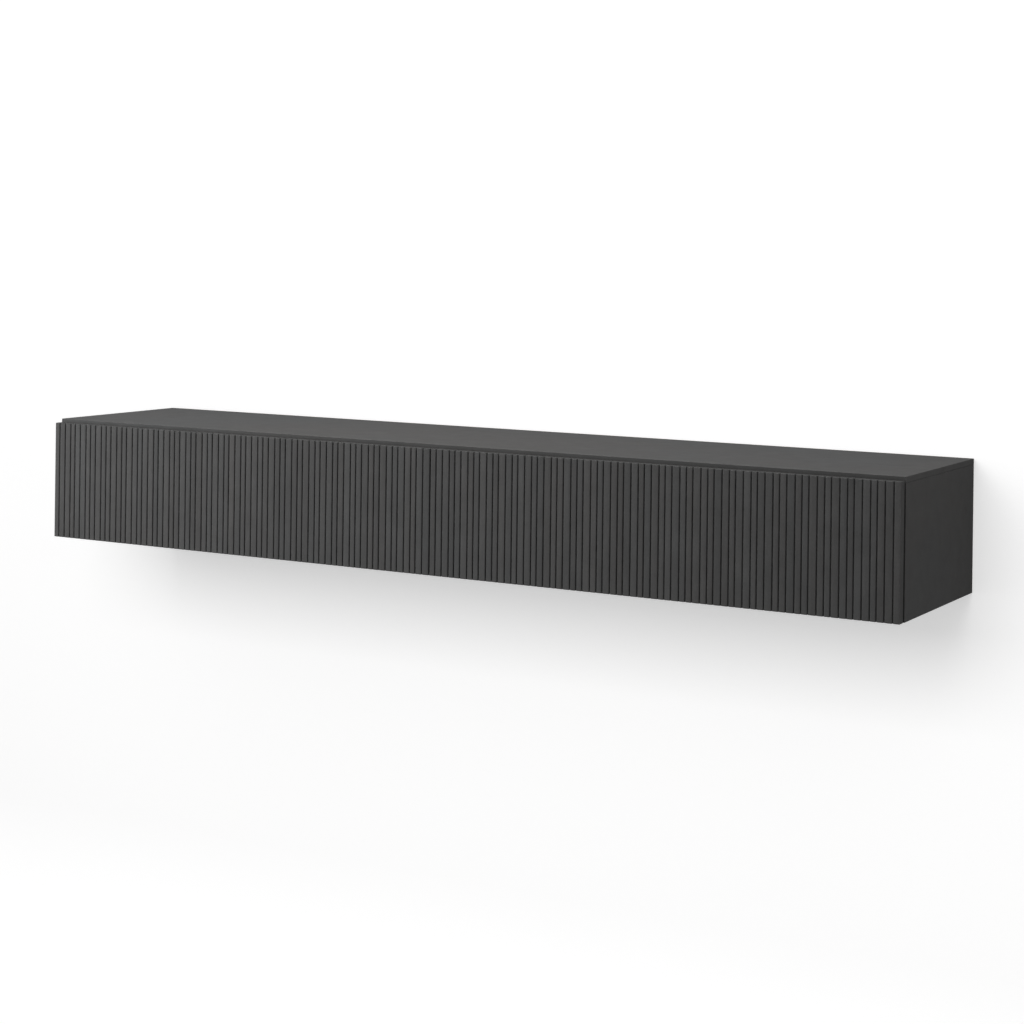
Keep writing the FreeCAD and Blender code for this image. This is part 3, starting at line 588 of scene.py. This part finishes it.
# ------------------------------------------------------------------ screws
def screw(bm, at, way, head_r, head_h, shank_r, length, turn=0.0, pan=False):
    """A cross-recess wood screw. at is the middle of the head's flat top and
    way the direction it is driven in; sizes in millimetres."""
    t = bmesh.new()
    n = 32
    rim = 0.25
    recess, arm = 0.58 * head_r, 0.17 * head_r
    depth = min(0.45 * length, 0.75 * head_h + 0.6)

    def ring(r, z):
        return [t.verts.new((r * math.cos(2 * math.pi * k / n), r * math.sin(2 * math.pi * k / n), -z))
                for k in range(n)]

    core = shank_r * 0.72
    tip = shank_r * 2.2
    if pan:
        e = 1.0
        profile = [(head_r - e + e * math.sin(math.radians(a)), e - e * math.cos(math.radians(a)))
                   for a in (0, 22.5, 45, 67.5, 90)]
        profile += [(head_r, head_h), (shank_r, head_h), (shank_r, head_h + 3.0)]
    else:
        profile = [(head_r - rim, 0.0), (head_r - 0.04, 0.12), (head_r, rim), (shank_r, head_h),
                   (shank_r, head_h + min(3.0, 0.2 * length))]
    profile += [(core, profile[-1][1] + 0.4), (core, length - tip), (core * 0.30, length - 0.25), (0.06, length)]
    rings = [ring(r, z) for r, z in profile]
    for a, b in zip(rings, rings[1:]):
        for k in range(n):
            t.faces.new((a[k], b[k], b[(k + 1) % n], a[(k + 1) % n]))
    t.faces.new(rings[-1])

    def cross(r, w, z):
        out = []
        for q in range(4):
            a = math.radians(90.0 * q)
            for px, py in ((r, -w), (r, w), (w * 1.25, w * 1.25)):
                out.append(t.verts.new((px * math.cos(a) - py * math.sin(a), px * math.sin(a) + py * math.cos(a), -z)))
        return out

    mouth, mid_, floor_ = cross(recess, arm, 0.0), cross(recess * 0.72, arm * 0.85, depth * 0.75), cross(
        recess * 0.25, arm * 0.6, depth)
    edges = []
    for loop in (rings[0], mouth):
        m = len(loop)
        for k in range(m):
            a, b = loop[k], loop[(k + 1) % m]
            edges.append(t.edges.get((a, b)) or t.edges.new((a, b)))
    bmesh.ops.triangle_fill(t, use_beauty=True, use_dissolve=False, edges=edges)
    for a, b in ((mouth, mid_), (mid_, floor_)):
        m = len(a)
        for k in range(m):
            t.faces.new((a[k], a[(k + 1) % m], b[(k + 1) % m], b[k]))
    t.faces.new(floor_)
    bmesh.ops.recalc_face_normals(t, faces=t.faces)
    # the thread: a closed ridge that winds down the core
    z0, z1 = profile[-4][1] + 0.2, length - tip * 0.55
    pitch = max(0.9, shank_r * 0.95)
    per = 14
    count = int((z1 - z0) / pitch * per)
    prev, first = None, None
    for k in range(count + 1):
        a = 2 * math.pi * k / per
        z = z0 + pitch * k / per
        fade = min(1.0, k / per, (count - k) / per)
        crest = core + (shank_r - core) * max(0.05, fade)
        w = pitch * 0.24
        tri = [t.verts.new((rr * math.cos(a), rr * math.sin(a), -zz))
               for rr, zz in ((core * 0.9, z - w), (crest, z), (core * 0.9, z + w))]
        if prev:
            for j in range(3):
                t.faces.new((prev[j], prev[(j + 1) % 3], tri[(j + 1) % 3], tri[j]))
        else:
            first = tri
        prev = tri
    if first and prev is not first:
        t.faces.new(first)
        t.faces.new(tuple(reversed(prev)))
    bmesh.ops.recalc_face_normals(t, faces=t.faces)
    m = (Matrix.Translation(at) @ Vector((0, 0, -1)).rotation_difference(Vector(way)).to_matrix().to_4x4()
         @ Matrix.Rotation(turn, 4, "Z") @ Matrix.Scale(MM, 4))
    bmesh.ops.transform(t, matrix=m, verts=t.verts)
    me = bpy.data.meshes.new("one_screw")
    t.to_mesh(me)
    t.free()
    bm.from_mesh(me)
    bpy.data.meshes.remove(me)


def screws(name, node, body, jobs, slot="screw_steel", mat=None):
    bm = bmesh.new()
    rnd = random.Random(len(name) * 7 + len(jobs))
    for job in jobs:
        screw(bm, *job[0], turn=rnd.uniform(0, math.pi / 2), **job[1])
    o = piece(name, new_mesh(bm, name), body, slot, [mat or M_SCREW], node)
    o.data.polygons.foreach_set("use_smooth", [True] * len(o.data.polygons))
    o.data.set_sharp_from_angle(angle=math.radians(32))
    return o


def leaf_screw_x(side):
    flap_w = HALF - FLAP_INSET - SEAM / 2
    x0 = SEAM / 2 + (flap_w - 960.0) / 2
    return [side * (x0 + 40.0 + k * 880.0 / 7) for k in range(8)]


AX = (FRONT - GAP / 2, 1.4)
STAY_A = (FRONT + 14.0, 111.4)
STAY_B = (AX[0] + 110.0, AX[1] + 62.0)
carcass_leaf, stay_jobs = [], []
for name, side in (("left", -1), ("right", 1)):
    flap = []
    for x in leaf_screw_x(side):
        carcass_leaf.append(((P(x, FRONT - 0.8, 9.4), (0, 1, 0), 2.8, 1.6, 1.4, 16.8), {}))
        flap.append(((P(x, FLAP_BACK + 0.8, 9.4), (0, -1, 0), 2.8, 1.6, 1.4, 10.8), {}))
    for place, face, d in (("outer", side * IN_X, -side), ("inner", side * BOARD / 2, side)):
        for s, z in ((32.0, STAY_A[1] - 9), (42.0, STAY_A[1] + 9)):
            flap.append(((P(face + d * s, FLAP_BACK + 2.0, z), (0, -1, 0), 3.6, 1.6, 2.0, 12.5), {}))
        reach = 9.0 if place == "outer" else 7.0
        for hy, hz in ((-38, -25), (-38, 29), (46, 29), (46, -25)):
            stay_jobs.append(((P(face + d * 13.0, STAY_B[0] + hy, STAY_B[1] + hz), (-d, 0, 0), 4.0, 2.0, 2.0,
                               13.0 + reach), {}))
    screws("flap_wood_screws_" + name, "flap_screws_" + name, "flap_" + name, flap)
screws("hinge_wood_screws", "hinge_carcass_screws", "carcass", carcass_leaf)
screws("stay_housing_screws", "stay_screws", "carcass", stay_jobs)
screws("partition_confirmat_screws", "partition_screws", "carcass",
       [((P(0, y, 0), (0, 0, 1), 5.0, 3.0, 2.5, 50.0), {}) for y in (-370.0, -200.0, -110.0)])
screws("cleat_pan_head_screws", "cleat_screws", "carcass",
       [((P(s * (80.0 + 140.0 * k), -15.8, 214.0), (0, -1, 0), 4.2, 2.2, 2.0, 23.2), {"pan": True})
        for s in (-1, 1) for k in range(7)])


# ------------------------------------------------------------------- stage
def stage_material(name, level, bounce, glow):
    """A matte wall, clear from behind. The camera sees it at one level, and
    it passes less than that on to the object, as in a large dim room."""
    m = bpy.data.materials.new(name)
    m.use_nodes = True
    t = m.node_tree
    t.nodes.clear()
    out = t.nodes.new("ShaderNodeOutputMaterial")
    seen, lit, dim = (t.nodes.new("ShaderNodeBsdfDiffuse"), t.nodes.new("ShaderNodeEmission"),
                      t.nodes.new("ShaderNodeBsdfDiffuse"))
    seen.inputs["Color"].default_value = (level, level, level, 1.0)
    dim.inputs["Color"].default_value = (bounce, bounce, bounce, 1.0)
    lit.inputs["Strength"].default_value = glow
    lit.name = "wall_glow"
    add, path, geo = (t.nodes.new("ShaderNodeAddShader"), t.nodes.new("ShaderNodeLightPath"),
                      t.nodes.new("ShaderNodeNewGeometry"))
    clear, who, side = (t.nodes.new("ShaderNodeBsdfTransparent"), t.nodes.new("ShaderNodeMixShader"),
                        t.nodes.new("ShaderNodeMixShader"))
    t.links.new(seen.outputs[0], add.inputs[0])
    t.links.new(lit.outputs[0], add.inputs[1])
    t.links.new(path.outputs["Is Camera Ray"], who.inputs[0])
    t.links.new(dim.outputs[0], who.inputs[1])
    t.links.new(add.outputs[0], who.inputs[2])
    t.links.new(geo.outputs["Backfacing"], side.inputs[0])
    t.links.new(who.outputs[0], side.inputs[1])
    t.links.new(clear.outputs[0], side.inputs[2])
    t.links.new(side.outputs[0], out.inputs["Surface"])
    return m


WALL_LEVEL, WALL_BOUNCE, WALL_GLOW = 0.80, 0.25, 0.441
FLOOR_Z = -1.56
M_WALL = stage_material("studio_wall", WALL_LEVEL, WALL_BOUNCE, WALL_GLOW)


def studio():
    """A wall that turns into the floor through a wide cove. The wall is open
    where the console's back covers it, so that light reaches the back."""
    bm = bmesh.new()
    y0, r, far, wide = 0.0015, 0.6, -9.0, 9.0
    # the wall, in strips round an opening that lies behind the console
    ox, oz0, oz1 = 0.997, -0.2075, 0.0525
    z0, z1 = FLOOR_Z + r, 5.5
    xs, zs = [-wide, -ox, ox, wide], [z0, oz0, oz1, z1]
    grid = [[bm.verts.new((x, y0, z)) for x in xs] for z in zs]
    for j in range(3):
        for i in range(3):
            if (i, j) != (1, 1):
                bm.faces.new((grid[j][i], grid[j][i + 1], grid[j + 1][i + 1], grid[j + 1][i]))
    prev = grid[0]
    for k in range(1, 17):
        a = math.radians(90.0 * k / 16)
        row = [bm.verts.new((x, y0 - r + r * math.cos(a), FLOOR_Z + r - r * math.sin(a))) for x in xs]
        for i in range(3):
            bm.faces.new((row[i], row[i + 1], prev[i + 1], prev[i]))
        prev = row
    row = [bm.verts.new((x, far, FLOOR_Z)) for x in xs]
    for i in range(3):
        bm.faces.new((row[i], row[i + 1], prev[i + 1], prev[i]))
    for f in bm.faces:
        f.smooth = True
    # the wall as it shows through the cable ports and the notches below them
    for s in (-1, 1):
        rim = [bm.verts.new(P(s * 500.0 + 26.9 * math.cos(math.radians(a)), BACK_Y1 + 0.3,
                              75.0 + 26.9 * math.sin(math.radians(a)))) for a in range(0, 360, 10)]
        bm.faces.new(rim)
        bm.faces.new([bm.verts.new((s * 0.5 + x, y0, z)) for x, z in (
            (-0.045, -0.2075), (0.045, -0.2075), (0.045, -0.186), (-0.045, -0.186))])
    me = new_mesh(bm, "studio")
    me.materials.append(M_WALL)
    o = bpy.data.objects.new("studio", me)
    scene.collection.objects.link(o)
    return o


studio()


def area(name, at, to, size, power, colour=(1.0, 1.0, 1.0), spread=180.0):
    d = bpy.data.lights.new(name, "AREA")
    d.shape, d.size, d.size_y, d.energy, d.color = "RECTANGLE", size[0], size[1], power, colour
    d.spread = math.radians(spread)
    o = bpy.data.objects.new(name, d)
    scene.collection.objects.link(o)
    o.location = at
    o.rotation_euler = (Vector(to) - Vector(at)).to_track_quat("-Z", "Y").to_euler()
    o.visible_camera = False
    return o


stage_only = bpy.data.collections.new("stage_only")
stage_only.objects.link(bpy.data.objects["studio"])
object_only = bpy.data.collections.new("object_only")
for o in scene.objects:
    if o.type == "MESH" and o.name != "studio":
        object_only.objects.link(o)

inside = bpy.data.collections.new("inside_only")
for o in object_only.objects:
    if o.name in ("flap_ribbed_front_left", "flap_ribbed_front_right", "top_panel_eased", "left_side_panel_eased",
                  "right_side_panel_eased", "hinge_wood_screws"):
        continue
    inside.objects.link(o)
for spec, receivers in (
        (("overhead", (0.0, -0.7, 2.3), (0.0, -0.3, 0.0), (4.0, 1.0), 65.1), object_only),
        (("overhead_left", (-1.1, -0.7, 2.3), (-0.5, -0.3, 0.0), (2.6, 1.0), 24.8), object_only),
        (("near_left", (-0.7, -2.2, 0.1), (-0.4, -0.4, -0.1), (0.8, 0.8), 6.1), object_only),
        (("key_left", (-2.45, -1.75, 0.35), (-0.5, -0.4, -0.08), (1.0, 1.2), 29.0), object_only),
        (("right_fill", (3.4, -0.9, 0.3), (0.9, -0.25, -0.08), (1.2, 1.2), 12.1), object_only),
        (("rear_fill", (-1.9, 3.0, 1.3), (0.0, 0.0, -0.1), (2.6, 1.4), 60.0), object_only),
        (("under_fill", (0.0, -0.21, -1.3), (0.0, -0.211, 0.0), (1.9, 0.36), 9.0), object_only),
        (("inside_fill", (0.0, -2.6, 0.5), (0.0, 0.0, -0.12), (2.4, 0.8), 40.0), inside),
        (("wall_low", (-0.6, -4.0, -0.4), (0.0, 0.0, -0.2), (3.0, 1.2), 5.7), stage_only),
        (("wall_wash", (0.3, -5.2, 1.8), (0.0, 0.0, -0.2), (3.5, 2.2), 131.8), stage_only)):
    area(*spec).light_linking.receiver_collection = receivers

world = bpy.data.worlds.new("studio_world")
scene.world = world
world.use_nodes = True
wt = world.node_tree
wt.nodes.clear()
w_out = wt.nodes.new("ShaderNodeOutputWorld")
w_amb, w_cam = wt.nodes.new("ShaderNodeBackground"), wt.nodes.new("ShaderNodeBackground")
w_path, w_mix = wt.nodes.new("ShaderNodeLightPath"), wt.nodes.new("ShaderNodeMixShader")
w_amb.inputs["Color"].default_value = (1.0, 1.0, 1.0, 1.0)
w_amb.inputs["Strength"].default_value = 0.501
w_cam.inputs["Color"].default_value = (1.0, 1.0, 1.0, 1.0)
w_cam.inputs["Strength"].default_value = 1.0
wt.links.new(w_path.outputs["Is Camera Ray"], w_mix.inputs[0])
wt.links.new(w_amb.outputs[0], w_mix.inputs[1])
wt.links.new(w_cam.outputs[0], w_mix.inputs[2])
wt.links.new(w_mix.outputs[0], w_out.inputs["Surface"])

scene.view_settings.view_transform = "Standard"
scene.view_settings.look = "None"
scene.view_settings.exposure = 0.0
scene.view_settings.gamma = 1.0
scene.cycles.use_denoising = True
